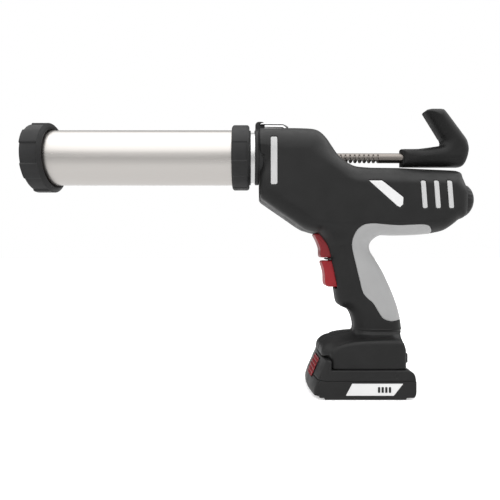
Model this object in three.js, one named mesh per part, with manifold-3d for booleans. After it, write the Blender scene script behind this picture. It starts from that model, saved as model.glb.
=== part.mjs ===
// A cordless caulking gun, in millimetres. The barrel points along -X, +Z is up, and the origin is on the
// battery's bottom face, under the handle's front edge. Y = 0 is the parting plane of the housing.
import * as THREE from "three";
import { mergeVertices } from "three/addons/utils/BufferGeometryUtils.js";
import Module from "manifold-3d";

const wasm = await Module();
wasm.setup();

// ---- Driving dimensions ----
const GAP = 0.3; // running or seating gap between neighbouring pieces
const AXIS_Z = 234.5; // height of the barrel's axis and of the rod
const WALL = 3.6; // housing wall with the grip's pocket
const GRIP = 1.6; // depth of the pocket that the soft grip fills
const INLAY = 1; // depth of the stripes and labels laid into the sides

const BARREL = { outer: 27.5, bore: 26, front: -311.9, rear: -107.2 };
const CAP = { front: -320.4, rear: -301.1, outer: 34.7, mouth: 20, lip: 5, facets: 8 };
const SEAT = { outer: 27.3, bore: 21, length: 2.7 };
const REAR_RING = { front: -121.5, rear: -102.8, outer: 32.6, lip: 4 };
const SPIGOT = { front: -122, rear: -84, outer: 25.2, bore: 14 };
const COLLAR = { front: -98.8, rear: -86, outer: 27.2, bore: 25.5 };
const LUG = { front: -98.8, rear: -89, top: 271.3, half: 2.5, holeX: -92.6, holeZ: 268.2, holeR: 1.3 };
const LOOP = { wire: 0.9, halfWidth: 4.8, reach: 26, drop: 1.1 };

const ROD = { radius: 5, front: -281, rear: 66, rackFrom: -32, rackTo: 16 };
const RACK_MODULE = 1.5;
const RACK_X = -50; // the drive shafts stand below this point of the rack
const PINION_TEETH = 10;
const SPUR_MODULE = 1.25;
const UPPER_TEETH = 32;
const LOWER_TEETH = 20;
const BEVEL_TEETH = 12;
const WHEEL_TEETH = 24;
const SHAFT = 4;
const BEARING = { outer: 9, length: 6, inside: 18 };
const PLATE = { inside: 17.7, outside: 23 };
const PLUNGER = { front: -272, length: 8, outer: 24.8 };

const HEAD_HALF = 31; // half widths of the housing's blocks
const TAIL_HALF = 28;
const HANDLE_HALF = 17.5;
const FOOT_HALF = 33;
const WIDE = 45; // a half width that reaches past every side of the housing
const TRIGGER_HALF = 9;

const MOTOR = { front: 40, rear: 96, radius: 17.5 };
const GEARBOX = { front: -12, rear: 39.6, radius: 18.5 };
const DIAL = { front: 104.3, rear: 121.2, radius: 17.5 };

const SLOT = { back: -4.5, bottom: 103.6, top: 158 }; // the slot that the triggers slide in
const TRIGGER_PIN = { x: -24.4, z: 131.8, radius: 1, half: 15 };
const SPRING = { front: -11.6, rear: -2, upperZ: 143, lowerZ: 117 };
const SWITCH = { x: [-1, 9.5], half: 8.5, z: [112, 150] };
const BOARD = { x: [14, 32], half: 0.8, z: [80, 104] };
const TERMINALS = { x: [-26, 42], half: 21, z: [28.2, 39.5] };
const REAR_GUIDE = { front: -40, rear: -28, outer: 8.4 };

const BATTERY = { half: 36, middle: 5.4, top: 27.6, wall: 2 };
const CELL = { radius: 9, length: 65, pitch: 18.2, count: 5 };

// The rack's pitch line, the rack pinion's shaft and the lower shaft, worked out from the gears.
const RACK_TIP_Z = AXIS_Z - ROD.radius;
const UPPER_Z = RACK_TIP_Z + RACK_MODULE - (PINION_TEETH * RACK_MODULE) / 2;
const LOWER_Z = UPPER_Z - ((UPPER_TEETH + LOWER_TEETH) * SPUR_MODULE) / 2;

const FINISH = {
  aluminium: { color: 0xc9c8c6, roughness: 0.3, metalness: 1 },
  steel: { color: 0x8f8a84, roughness: 0.4, metalness: 1 },
  black: { color: 0x2b2b2c, roughness: 0.5, metalness: 0 },
  grip: { color: 0xb6b6b6, roughness: 0.75, metalness: 0 },
  light: { color: 0xd2d2d2, roughness: 0.5, metalness: 0 },
  label: { color: 0xf0f0f0, roughness: 0.4, metalness: 0 },
  red: { color: 0x96282d, roughness: 0.4, metalness: 0 },
  rubber: { color: 0x1b1b1b, roughness: 0.8, metalness: 0 },
  brass: { color: 0xc29a4a, roughness: 0.4, metalness: 1 },
  board: { color: 0x1f5a36, roughness: 0.6, metalness: 0 },
  cell: { color: 0x3c78a8, roughness: 0.5, metalness: 0 },
};

const gun = new THREE.Group();

// ---- Solids ----

// A closed geometry as a solid that can be joined and cut.
function solid(geometry) {
  const bare = geometry.clone();
  bare.deleteAttribute("normal");
  bare.deleteAttribute("uv");
  const merged = mergeVertices(bare, 1e-4);
  return new wasm.Manifold(
    new wasm.Mesh({
      numProp: 3,
      vertProperties: new Float32Array(merged.attributes.position.array),
      triVerts: new Uint32Array(merged.index.array),
    }),
  );
}

function join(...solids) {
  return solids.reduce((a, b) => a.add(b));
}

function addNode(name, made, finish) {
  const { vertProperties, triVerts } = made.getMesh();
  const geometry = new THREE.BufferGeometry();
  geometry.setAttribute("position", new THREE.BufferAttribute(vertProperties, 3));
  geometry.setIndex(new THREE.BufferAttribute(triVerts, 1));
  geometry.computeVertexNormals();
  const mesh = new THREE.Mesh(geometry, new THREE.MeshStandardMaterial(FINISH[finish]));
  mesh.name = name;
  gun.add(mesh);
}

// Two distances from the parting plane as Y values on one side of it, left (-1) or right (1), in order.
function span(side, a, b) {
  return side < 0 ? [-b, -a] : [a, b];
}

function box(x0, x1, y0, y1, z0, z1) {
  const made = new THREE.BoxGeometry(x1 - x0, y1 - y0, z1 - z0);
  return solid(made.translate((x0 + x1) / 2, (y0 + y1) / 2, (z0 + z1) / 2));
}

// A block centred on the parting plane, given as { x: [low, high], half, z: [low, high] }.
function block({ x, half, z }) {
  return box(...x, -half, half, ...z);
}

// A cylinder along X, from x0 to x1.
function barX(x0, x1, radius, z = AXIS_Z, sides = 32) {
  const made = new THREE.CylinderGeometry(radius, radius, x1 - x0, sides);
  return solid(made.rotateZ(Math.PI / 2).translate((x0 + x1) / 2, 0, z));
}

// A cylinder along Y, from y0 to y1.
function barY(y0, y1, radius, x, z, sides = 24) {
  const made = new THREE.CylinderGeometry(radius, radius, y1 - y0, sides);
  return solid(made.translate(x, (y0 + y1) / 2, z));
}

// A solid turned about an axis along X at height z, from [x, radius] points that start and end on the axis.
function turned(points, z = AXIS_Z, sides = 32) {
  const profile = points.map(([x, r]) => new THREE.Vector2(r, x));
  const made = new THREE.LatheGeometry(profile, sides);
  return solid(made.rotateZ(-Math.PI / 2).translate(0, 0, z));
}

// Points along an outline made of runs: two points are a straight, more are a smooth curve.
function outline(...runs) {
  const points = [];
  for (const run of runs) {
    const knots = run.map(([x, z]) => new THREE.Vector2(x, z));
    const made = knots.length > 2 ? new THREE.SplineCurve(knots).getPoints(2 * (knots.length - 1)) : knots;
    for (const p of made) {
      if (!points.length || points.at(-1).distanceTo(p) > 0.2) points.push(p);
    }
  }
  if (points[0].distanceTo(points.at(-1)) < 0.2) points.pop();
  return points;
}

// The outline moved inwards by a distance, each corner along its mitre.
function inset(points, distance) {
  if (!distance) return points;
  const turn = THREE.ShapeUtils.isClockWise(points) ? -1 : 1;
  return points.map((p, i) => {
    const before = points[(i + points.length - 1) % points.length];
    const after = points[(i + 1) % points.length];
    const a = p.clone().sub(before).normalize();
    const b = after.clone().sub(p).normalize();
    const normalA = new THREE.Vector2(-a.y, a.x);
    const normalB = new THREE.Vector2(-b.y, b.x);
    const mitre = normalA.clone().add(normalB).normalize();
    const reach = distance / Math.max(0.5, mitre.dot(normalA));
    return p.clone().addScaledVector(mitre, turn * reach);
  });
}

// An outline in the XZ plane made solid from -half to +half in Y, with rounded edges.
function slab(points, half, round = 0) {
  const made = new THREE.ExtrudeGeometry(new THREE.Shape(points), {
    depth: 2 * (half - round),
    bevelEnabled: round > 0,
    bevelThickness: round,
    bevelSize: round,
    bevelOffset: -round,
    bevelSegments: 2,
  });
  return solid(made.translate(0, 0, round - half).rotateX(Math.PI / 2));
}

// The same between two Y values, with square edges.
function plateY(points, y0, y1) {
  const made = new THREE.ExtrudeGeometry(new THREE.Shape(points), { depth: y1 - y0, bevelEnabled: false });
  return solid(made.translate(0, 0, -y1).rotateX(Math.PI / 2));
}

// A ring of points on a superellipse that spans a0 to a1 one way and -half to +half in Y.
function sectionRing(a0, a1, half, power, sides) {
  const points = [];
  for (let i = 0; i < sides; i++) {
    const angle = (i / sides) * 2 * Math.PI;
    const c = Math.cos(angle);
    const s = Math.sin(angle);
    const u = Math.sign(c) * Math.abs(c) ** (2 / power);
    const v = Math.sign(s) * Math.abs(s) ** (2 / power);
    points.push([(a0 + a1) / 2 + (u * (a1 - a0)) / 2, v * half]);
  }
  return points;
}

// A solid through stations [at, a0, a1, half], each a rounded section across the axis, X or Z.
// A section across X spans a0 to a1 in Z, and one across Z spans them in X.
function loft(axis, stations, power, sides = 16) {
  const vertices = [];
  const place = (at, a, y) => (axis === "x" ? vertices.push(at, y, a) : vertices.push(a, y, at));
  for (const [at, a0, a1, half] of stations) {
    for (const [a, y] of sectionRing(a0, a1, half, power, sides)) place(at, a, y);
  }
  for (const [at, a0, a1] of [stations[0], stations.at(-1)]) place(at, (a0 + a1) / 2, 0);
  const faces = [];
  const last = stations.length - 1;
  const start = stations.length * sides;
  for (let i = 0; i < sides; i++) {
    const j = (i + 1) % sides;
    for (let k = 0; k < last; k++) {
      const [a, b] = [k * sides, (k + 1) * sides];
      faces.push(a + i, b + j, a + j, a + i, b + i, b + j);
    }
    faces.push(start, i, j, start + 1, last * sides + j, last * sides + i);
  }
  const geometry = new THREE.BufferGeometry();
  geometry.setAttribute("position", new THREE.Float32BufferAttribute(vertices, 3));
  geometry.setIndex(axis === "x" ? faces : faces.reverse());
  return solid(geometry);
}

// The same stations with every section, and both ends, moved inwards by a distance.
function shrink(stations, distance) {
  const ends = [0, stations.length - 1];
  return stations.map(([at, a0, a1, half], i) => {
    const way = i === ends[0] ? 1 : i === ends[1] ? -1 : 0;
    return [at + way * distance, a0 + distance, a1 - distance, half - distance];
  });
}

// ---- Housing ----

// Stations along X: [x, bottom, top, half width].
const HEAD = [
  [-94.4, 206, 260.8, HEAD_HALF - 2], [-92, 191, 262.8, HEAD_HALF - 0.5], [-83, 184, 263.2, HEAD_HALF],
  [-70, 175.1, 263.2, HEAD_HALF], [-52, 162.6, 263, HEAD_HALF],
  [-40, 158.1, 262.2, HEAD_HALF], [-33, 157.4, 259.3, HEAD_HALF], [-26.7, 156.8, 253.3, HEAD_HALF],
  [-21, 156.6, 245, HEAD_HALF - 0.5], [-14.5, 156.4, 235.5, HEAD_HALF - 1.2],
  [-6.9, 156.2, 229.1, HEAD_HALF - 2], [2, 156, 225.1, TAIL_HALF], [17, 156, 223.7, TAIL_HALF],
  [44, 156.1, 223.4, TAIL_HALF], [72, 157, 222, TAIL_HALF], [88, 160.6, 221.3, TAIL_HALF - 0.6],
  [96, 166, 221, TAIL_HALF - 1.5], [104, 172.9, 220.6, TAIL_HALF - 4],
];
const TAIL_LIP = [
  [97, 209, 220.8, 22], [104, 208.8, 220.5, 21], [108.5, 208.9, 217.8, 19], [110.5, 209.1, 213.5, 15],
];
// Stations along Z: [z, front, rear, half width].
const HANDLE = [
  [52, -1.3, 46.5, HANDLE_HALF], [62, -0.5, 49.2, HANDLE_HALF], [69, -1.3, 48.1, HANDLE_HALF],
  [76, -4.2, 46.6, HANDLE_HALF], [82, -8, 45.2, HANDLE_HALF], [85, -12, 44.2, HANDLE_HALF],
  [89, -16.8, 42.9, HANDLE_HALF], [94.5, -17.9, 40.8, HANDLE_HALF], [103, -17.6, 37.3, HANDLE_HALF],
  [111, -17.3, 33.7, HANDLE_HALF], [120, -19, 29.3, HANDLE_HALF], [130, -21.3, 23.3, HANDLE_HALF],
  [139, -23, 17.6, HANDLE_HALF], [145, -25.2, 16.2, HANDLE_HALF], [151, -27.7, 19, HANDLE_HALF],
  [158, -33, 28, HANDLE_HALF], [168, -33, 30, HANDLE_HALF],
];
const FOOT = [
  [27.9, -32.5, 47.5, FOOT_HALF], [42.5, -32.5, 47.5, FOOT_HALF], [47, -31.8, 47.3, FOOT_HALF - 0.5],
  [51, -29, 47, FOOT_HALF - 2], [54.6, -22, 46.6, FOOT_HALF - 6], [57.8, -9, 46, HANDLE_HALF + 1],
];
const GRIP_PATCH = outline(
  [[76, 150], [74.8, 159.1], [66.8, 165.5]],
  [[40.6, 164.7], [14.4, 166.5]],
  [[5.6, 165.1], [-3.2, 151.1], [0.4, 127.5], [11.7, 93.4]],
  [[17.8, 88.1], [27.5, 73.3], [34.5, 70.6]],
  [[34.5, 70.6], [60, 71]],
  [[60, 100], [76, 110]],
);
const FRONT_STRIPE = outline(
  [[-83.9, 206], [-83, 203.8], [-80.7, 203.2], [-78.5, 203.8], [-77.6, 206]],
  [[-77.6, 246.4], [-78.5, 248.6], [-80.7, 249.2], [-83, 248.6], [-83.9, 246.4]],
);
const TAIL_LABEL = outline(
  [[10.2, 207.3], [22.6, 207.3]],
  [[43.2, 190.9], [42.7, 184.5]],
  [[39.9, 181.8], [37.2, 183.1]],
);
const VENT_BARS = { first: 61.9, pitch: 12.6, count: 3, width: 4.6, top: 207.3, bottom: 180.8, lean: 2 };

const VENT_PLATE = { x: [57, 95], z: [178, 210], deep: 6.6, shallow: 4.8 }; // depths below the tail's side

// The outlines of the vent bars, made larger all round by a distance.
function ventBars(grow) {
  const { first, pitch, count, width, top, bottom, lean } = VENT_BARS;
  const half = width / 2 + grow;
  return Array.from({ length: count }, (_, i) => {
    const x = first + i * pitch;
    return outline(
      [[x - half, top + grow], [x + half, top + grow]],
      [[x + lean + half, bottom - grow], [x + lean - half, bottom - grow]],
    );
  });
}

// The whole outer body, or the same body made smaller all round by a distance.
function bodyBlock(less) {
  const parts = [
    loft("x", shrink(HEAD, less), 3.6),
    loft("z", shrink(HANDLE, less), 2.6),
    loft("z", shrink(FOOT, less), 5),
  ];
  if (!less) parts.push(loft("x", TAIL_LIP, 3));
  return join(...parts);
}

// The slot in the handle's front that the triggers move in.
function triggerSlot() {
  const half = TRIGGER_HALF + GAP;
  return box(-60, SLOT.back, -half, half, SLOT.bottom, SLOT.top);
}

// Everything that passes through the housing's wall.
function housingOpenings() {
  const vents = ventBars(GAP).map((points) => slab(points, WIDE));
  const { x, z } = TERMINALS;
  return join(
    barX(-120, -80, COLLAR.outer + GAP),
    barX(-40, 20, ROD.radius + 1),
    barX(94, 115, SHAFT + GAP, LOWER_Z),
    box(-110, LUG.rear + GAP, -LUG.half - GAP, LUG.half + GAP, 255, 280),
    block({ x: [x[0] - 1, x[1] + 1], half: TERMINALS.half + 1, z: [20, z[1] + 0.5] }),
    barY(-30, 30, TRIGGER_PIN.radius + GAP, TRIGGER_PIN.x, TRIGGER_PIN.z, 12),
    triggerSlot(),
    ...vents,
  );
}

// The half of space on one side of the parting plane, left (-1) or right (1).
function sideBox(side) {
  return side < 0 ? box(-200, 200, -60, -GAP / 2, -10, 300) : box(-200, 200, GAP / 2, 60, -10, 300);
}

// A skin over an outline on one side of the body, from a depth inside its surface to a height outside it.
function skin(points, side, depth, proud) {
  return slab(points, WIDE).intersect(sideBox(side)).intersect(bodyBlock(-proud)).subtract(bodyBlock(depth));
}

// The room behind the side wall of the tail that a vent insert's plate fills.
function ventPlate(side, grow) {
  const { x, z, deep, shallow } = VENT_PLATE;
  const [y0, y1] = span(side, TAIL_HALF - deep, TAIL_HALF - shallow);
  return box(x[0] - grow, x[1] + grow, y0 - grow, y1 + grow, z[0] - grow, z[1] + grow);
}

function addHousing() {
  const outer = bodyBlock(0);
  const core = bodyBlock(GRIP);
  const patch = slab(GRIP_PATCH, WIDE);
  const screws = join(...SCREWS.map(([x, z]) => screwHole(x, z)));
  const posts = join(...SCREWS.map(([x, z]) => barY(-40, 40, SCREW.post, x, z, 8)));
  const hollow = bodyBlock(WALL).subtract(posts);
  const shell = outer.subtract(patch.subtract(core)).subtract(hollow);
  const open = shell.subtract(housingOpenings()).subtract(screws);
  for (const [name, side] of [["left", -1], ["right", 1]]) {
    const inlays = [FRONT_STRIPE, TAIL_LABEL];
    const pockets = inlays.map((points) => skin(inset(points, -GAP), side, INLAY + GAP, 5));
    const half = open.intersect(sideBox(side)).subtract(join(...pockets, ventPlate(side, GAP)));
    addNode(`housing_${name}`, largest(half), "black");
  }
  const grip = outer.intersect(slab(inset(GRIP_PATCH, GAP), WIDE)).subtract(bodyBlock(GRIP - GAP));
  addNode("soft_grip", largest(grip), "grip");
}

// The biggest of a solid's separate bodies.
function largest(made) {
  return made.decompose().reduce((a, b) => (b.volume() > a.volume() ? b : a));
}

const SCREW = { radius: 1.6, head: 3, post: 5, tip: -8, seat: 6, top: 9 };
const SCREWS = [[-83, 196], [99, 212.5], [4, 76], [-18, 47]];

// A screw's blind hole in the left half and its deep head bore from the right side.
function screwHole(x, z) {
  const { radius, head, tip, seat } = SCREW;
  return join(barY(seat - GAP, 50, head + GAP, x, z, 10), barY(tip - 1, seat, radius + GAP, x, z, 8));
}

function addScrews() {
  const { radius, head, tip, seat, top } = SCREW;
  SCREWS.forEach(([x, z], i) => {
    const made = join(barY(seat, top, head, x, z, 10), barY(tip, seat, radius, x, z, 8));
    addNode(`housing_screw_${i + 1}`, made, "steel");
  });
}

function addSidePieces() {
  for (const [name, side] of [["left", -1], ["right", 1]]) {
    addNode(`front_stripe_${name}`, skin(FRONT_STRIPE, side, INLAY, 0.2), "light");
    addNode(`tail_label_${name}`, skin(TAIL_LABEL, side, INLAY, 0.1), "label");
    const [y0, y1] = span(side, TAIL_HALF - VENT_PLATE.deep + 1.1, WIDE);
    const bars = join(...ventBars(0).map((points) => plateY(points, y0, y1)));
    addNode(`vent_insert_${name}`, ventPlate(side, 0).add(bars.intersect(bodyBlock(-0.2))), "light");
  }
}

// ---- Barrel ----

function addBarrel() {
  const { outer, bore, front, rear } = BARREL;
  const tube = barX(front, rear, outer).subtract(barX(front - 1, rear + 1, bore));
  addNode("barrel_tube", tube, "aluminium");
  const ring = turned([
    [REAR_RING.front, 0], [REAR_RING.front, REAR_RING.outer - 2], [REAR_RING.front + 2, REAR_RING.outer],
    [-106.1, REAR_RING.outer], [-104.1, REAR_RING.outer - 2], [-104.1, 27], [REAR_RING.rear, 27],
    [REAR_RING.rear, 0],
  ]);
  const room = barX(REAR_RING.front - 1, REAR_RING.rear - REAR_RING.lip, outer + GAP);
  addNode("rear_ring", ring.subtract(room).subtract(barX(-130, -100, SPIGOT.outer + GAP)), "black");
}

function addCap() {
  const inside = CAP.front + CAP.lip;
  const facetRadius = CAP.outer + 1.2;
  const body = turned([
    [CAP.front, 0], [CAP.front, CAP.outer - 7], [CAP.front + 7, CAP.outer], [CAP.rear - 3, CAP.outer],
    [CAP.rear, CAP.outer - 3], [CAP.rear, 0],
  ]);
  const facets = new THREE.CylinderGeometry(facetRadius, facetRadius, 30, CAP.facets);
  facets.rotateY(Math.PI / CAP.facets).rotateZ(Math.PI / 2).translate(CAP.front + 10, 0, AXIS_Z);
  const mouth = barX(CAP.front - 1, CAP.rear + 1, CAP.mouth);
  const room = barX(inside, CAP.rear + 1, BARREL.outer + GAP);
  addNode("front_cap", body.intersect(solid(facets)).subtract(mouth).subtract(room), "black");
  const seat = barX(inside + GAP, inside + GAP + SEAT.length, SEAT.outer);
  addNode("seat_ring", seat.subtract(barX(inside, inside + 10, SEAT.bore)), "rubber");
}

function addSpigot() {
  const spigot = barX(SPIGOT.front, SPIGOT.rear, SPIGOT.outer);
  addNode("barrel_spigot", spigot.subtract(barX(-130, -70, SPIGOT.bore)), "aluminium");
  const guide = barX(SPIGOT.front + 2, SPIGOT.front + 16, SPIGOT.bore - GAP, AXIS_Z, 24);
  addNode("rod_guide_front", guide.subtract(barX(-130, -90, ROD.radius + GAP, AXIS_Z, 24)), "brass");
  const rearGuide = barX(REAR_GUIDE.front, REAR_GUIDE.rear, REAR_GUIDE.outer, AXIS_Z, 20);
  addNode("rod_guide_rear", rearGuide.subtract(barX(-50, -20, ROD.radius + GAP, AXIS_Z, 20)), "brass");
}

// The black collar in front of the head, with the lug that the hanging loop goes through.
function addCollar() {
  const ring = barX(COLLAR.front, COLLAR.rear, COLLAR.outer).subtract(barX(-110, -80, COLLAR.bore));
  const lug = box(LUG.front, LUG.rear, -LUG.half, LUG.half, AXIS_Z + COLLAR.bore + 0.5, LUG.top);
  const hole = barY(-10, 10, LUG.holeR, LUG.holeX, LUG.holeZ, 12);
  addNode("nose_collar", ring.add(lug).subtract(hole), "black");
}

// A round-cornered ring of wire through the lug, with its ends butted under the lug's far side.
function addLoop() {
  const x0 = LUG.holeX;
  const x1 = x0 + LOOP.reach;
  const y = LOOP.halfWidth;
  const tip = LUG.holeZ - LOOP.drop;
  const mid = LUG.holeZ + 0.6;
  const path = new THREE.CatmullRomCurve3(
    [
      [x1, -0.4, tip], [x1 - 1.2, -y + 1.6, tip], [x1 - 6, -y, mid], [x0 + 5, -y, mid],
      [x0 + 1.3, -y + 0.3, LUG.holeZ], [x0, -2.6, LUG.holeZ], [x0, 2.6, LUG.holeZ],
      [x0 + 1.3, y - 0.3, LUG.holeZ], [x0 + 5, y, mid], [x1 - 6, y, mid], [x1 - 1.2, y - 1.6, tip],
      [x1, 0.4, tip],
    ].map((p) => new THREE.Vector3(...p)),
    false,
    "centripetal",
  );
  const section = new THREE.Shape().absarc(0, 0, LOOP.wire, 0, 2 * Math.PI);
  const wire = new THREE.ExtrudeGeometry(section, { steps: 48, extrudePath: path, curveSegments: 3 });
  addNode("hang_loop", solid(wire), "steel");
}

// ---- Rod, plunger and handle ----

// A spur tooth outline about the origin, with a tooth on the +Y side of the section.
function toothRing(teeth, root, tip, share = 1) {
  const points = [];
  const step = (2 * Math.PI) / teeth;
  for (let i = 0; i < teeth; i++) {
    const middle = Math.PI / 2 + i * step;
    for (const [offset, radius] of [[-0.33, root], [-0.13, tip], [0.13, tip], [0.33, root]]) {
      const angle = middle + offset * share * step;
      points.push(new THREE.Vector2(radius * Math.cos(angle), radius * Math.sin(angle)));
    }
  }
  return points;
}

// A spur gear on a shaft along Y. The turn is counted in teeth.
function spur(teeth, module, y0, y1, z, turnTeeth, addendum = 1) {
  const pitch = (teeth * module) / 2;
  const points = toothRing(teeth, pitch - 1.25 * module, pitch + addendum * module);
  const angle = (turnTeeth * 2 * Math.PI) / teeth;
  const turnedPoints = points.map((p) => p.rotateAround(new THREE.Vector2(), angle));
  return plateY(turnedPoints, y0, y1).translate([RACK_X, 0, z]);
}

function addRod() {
  const pitch = Math.PI * RACK_MODULE;
  const depth = 2.25 * RACK_MODULE;
  const points = [[RACK_X + (ROD.rackFrom - 0.5) * pitch, RACK_TIP_Z - 2]];
  for (let k = ROD.rackFrom; k <= ROD.rackTo; k++) {
    const x = RACK_X + k * pitch;
    for (const [dx, dz] of [[-0.36, -0.4], [-0.14, depth], [0.14, depth], [0.36, -0.4]]) {
      points.push([x + dx * pitch, RACK_TIP_Z + dz]);
    }
  }
  points.push([RACK_X + (ROD.rackTo + 0.5) * pitch, RACK_TIP_Z - 2]);
  const comb = plateY(points.map(([x, z]) => new THREE.Vector2(x, z)), -6, 6);
  const neck = barX(ROD.front, PLUNGER.front + PLUNGER.length + 4, 3.2, AXIS_Z, 16);
  const shank = barX(PLUNGER.front + PLUNGER.length + GAP, ROD.rear, ROD.radius, AXIS_Z, 12);
  addNode("rack_rod", shank.add(neck).subtract(comb), "steel");
}

function addPlunger() {
  const { front, length, outer } = PLUNGER;
  const bore = barX(front - 20, front + 20, 3.2 + GAP, AXIS_Z, 16);
  const plate = turned([
    [front, 0], [front, outer - 3], [front + 2, outer - 1], [front + length, outer - 1], [front + length, 0],
  ]);
  addNode("plunger_plate", plate.subtract(bore), "black");
  const seal = barX(front - 3.3, front - GAP, outer, AXIS_Z, 32);
  addNode("plunger_seal", seal.subtract(bore), "rubber");
  const nut = barX(front - 8, front - 3.6, 7, AXIS_Z, 6);
  addNode("plunger_nut", nut.subtract(bore), "steel");
}

const HOOK = outline(
  [[49.5, 242.1], [49.5, 225.9]],
  [[49.5, 225.9], [108.4, 225.4]],
  [[110.8, 226], [115, 235.7], [116.3, 243.3], [114.4, 251.2]],
  [[91.2, 281.6], [89.2, 282.4]],
  [[77, 282.2], [69.8, 279.6]],
  [[86.6, 250], [85.6, 247.2]],
  [[83.6, 245.4], [64.8, 242.6], [49.5, 242.1]],
);

function addHandle() {
  const body = slab(HOOK, 12, 2);
  addNode("pull_handle", body.subtract(barX(40, ROD.rear + GAP, ROD.radius + GAP, AXIS_Z, 20)), "black");
}

// ---- Drive ----

const GEAR_PLATE = outline(
  [[-71, 236.5], [-71, 208]],
  [[-62, 196], [-62, 182]],
  [[-36, 180], [-29, 190]],
  [[-29, 236.5], [-71, 236.5]],
);

function addDrive() {
  const upperShaft = barY(-24, 24, SHAFT, RACK_X, UPPER_Z);
  const pinion = spur(PINION_TEETH, RACK_MODULE, -5.5, 5.5, UPPER_Z, 0, 0.85);
  addNode("rack_pinion", upperShaft.add(pinion), "steel");
  const cutUpper = barY(0, 30, SHAFT + GAP, RACK_X, UPPER_Z);
  const upper = spur(UPPER_TEETH, SPUR_MODULE, 9.3, 16, UPPER_Z, 0.5);
  addNode("upper_spur_gear", upper.subtract(cutUpper), "steel");

  addNode("lower_shaft", barY(-24, 24, SHAFT, RACK_X, LOWER_Z), "steel");
  const cutLower = barY(-30, 30, SHAFT + GAP, RACK_X, LOWER_Z);
  const lower = spur(LOWER_TEETH, SPUR_MODULE, 9.3, 16, LOWER_Z, 0);
  addNode("lower_spur_gear", lower.subtract(cutLower), "steel");
  addBevels(cutLower);

  for (const [name, side] of [["left", -1], ["right", 1]]) {
    const { inside, length, outer } = BEARING;
    for (const [level, z] of [["upper", UPPER_Z], ["lower", LOWER_Z]]) {
      const bearing = barY(...span(side, inside, inside + length), outer, RACK_X, z);
      addNode(`${level}_bearing_${name}`, bearing.subtract(barY(-40, 40, SHAFT + GAP, RACK_X, z)), "steel");
    }
    const plate = plateY(GEAR_PLATE, ...span(side, PLATE.inside, PLATE.outside));
    const seatSpan = span(side, 0, inside + length + 1);
    const seats = [UPPER_Z, LOWER_Z].map((z) => barY(...seatSpan, outer + GAP, RACK_X, z));
    addNode(`gear_plate_${name}`, plate.subtract(join(...seats)), "aluminium");
  }
}

// A ring of teeth that tapers from its large end towards the point where the two shafts cross.
// Its axis is +Z, with the crossing point at the origin and the large end at the given distance.
function taperedGear(points, distance, share) {
  const count = points.length;
  const vertices = [];
  for (const scale of [share, 1]) {
    for (const p of points) vertices.push(p.x * scale, p.y * scale, distance * scale);
  }
  vertices.push(0, 0, distance * share, 0, 0, distance);
  const faces = [];
  for (let i = 0; i < count; i++) {
    const j = (i + 1) % count;
    faces.push(i, j, count + j, i, count + j, count + i);
    faces.push(2 * count, j, i, 2 * count + 1, count + i, count + j);
  }
  const geometry = new THREE.BufferGeometry();
  geometry.setAttribute("position", new THREE.Float32BufferAttribute(vertices, 3));
  geometry.setIndex(faces);
  return geometry;
}

// The bevel pinion on the gearbox's output shaft and the wheel on the lower shaft.
function addBevels(cutLower) {
  const small = (BEVEL_TEETH * SPUR_MODULE) / 2;
  const large = (WHEEL_TEETH * SPUR_MODULE) / 2;
  const faceShare = 0.55;
  const pinionRing = toothRing(BEVEL_TEETH, small - 1.4, small + 1.1);
  const pinion = solid(taperedGear(pinionRing, large, faceShare).rotateY(Math.PI / 2));
  const shaft = barX(large - 0.5, GEARBOX.front - RACK_X - GAP, SHAFT, 0, 24);
  addNode("bevel_pinion", pinion.add(shaft).translate([RACK_X, 0, LOWER_Z]), "steel");

  // The wheel's teeth are measured along its axis, so its outline reaches further in and out.
  const wheelRing = toothRing(WHEEL_TEETH, large - 2.7, large + 2, 0.9);
  const halfTooth = Math.PI / WHEEL_TEETH;
  const ringGeometry = taperedGear(wheelRing, small, faceShare);
  const wheel = solid(ringGeometry.rotateZ(Math.PI / 2 + halfTooth).rotateX(Math.PI / 2));
  const back = barY(-small - 4.5, -small + 0.2, large - 3, 0, 0);
  const made = wheel.intersect(barY(-20, 5, large + 1, 0, 0, 24)).add(back).translate([RACK_X, 0, LOWER_Z]);
  addNode("bevel_wheel", made.subtract(cutLower), "steel");
}

function addMotor() {
  const gearbox = turned([
    [GEARBOX.front, 0], [GEARBOX.front, 12], [GEARBOX.front + 6, GEARBOX.radius],
    [GEARBOX.rear, GEARBOX.radius], [GEARBOX.rear, 0],
  ], LOWER_Z, 28);
  addNode("gearbox", gearbox, "aluminium");
  addNode("motor", barX(MOTOR.front, MOTOR.rear, MOTOR.radius, LOWER_Z, 28), "steel");
}

// ---- Controls ----

const TRIGGER_UPPER = outline(
  [[-41.3, 155.3], [-38, 150.6], [-35.3, 144.4], [-34.2, 139], [-34.4, 135.4], [-32.8, 133.3]],
  [[-12.5, 133.3], [-12.5, 157.4]],
  [[-41, 157.4], [-41.3, 155.3]],
);
const TRIGGER_LOWER = outline(
  [[-31.6, 130.3], [-33.6, 128.4], [-31.3, 121.2], [-30.2, 114.5], [-30, 108.7], [-26.8, 104.4]],
  [[-12.5, 104.4], [-12.5, 130.3]],
);

// A coil spring along X between two x values.
function coilX(x0, x1, z) {
  const turns = 4;
  const radius = 3;
  const steps = 26;
  const knots = [];
  for (let i = 0; i <= steps; i++) {
    const angle = (i / steps) * turns * 2 * Math.PI;
    const x = x0 + ((x1 - x0) * i) / steps;
    knots.push(new THREE.Vector3(x, radius * Math.cos(angle), z + radius * Math.sin(angle)));
  }
  const section = new THREE.Shape().absarc(0, 0, 0.5, 0, 2 * Math.PI);
  const path = new THREE.CatmullRomCurve3(knots);
  return solid(new THREE.ExtrudeGeometry(section, { steps, extrudePath: path, curveSegments: 2 }));
}

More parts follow.
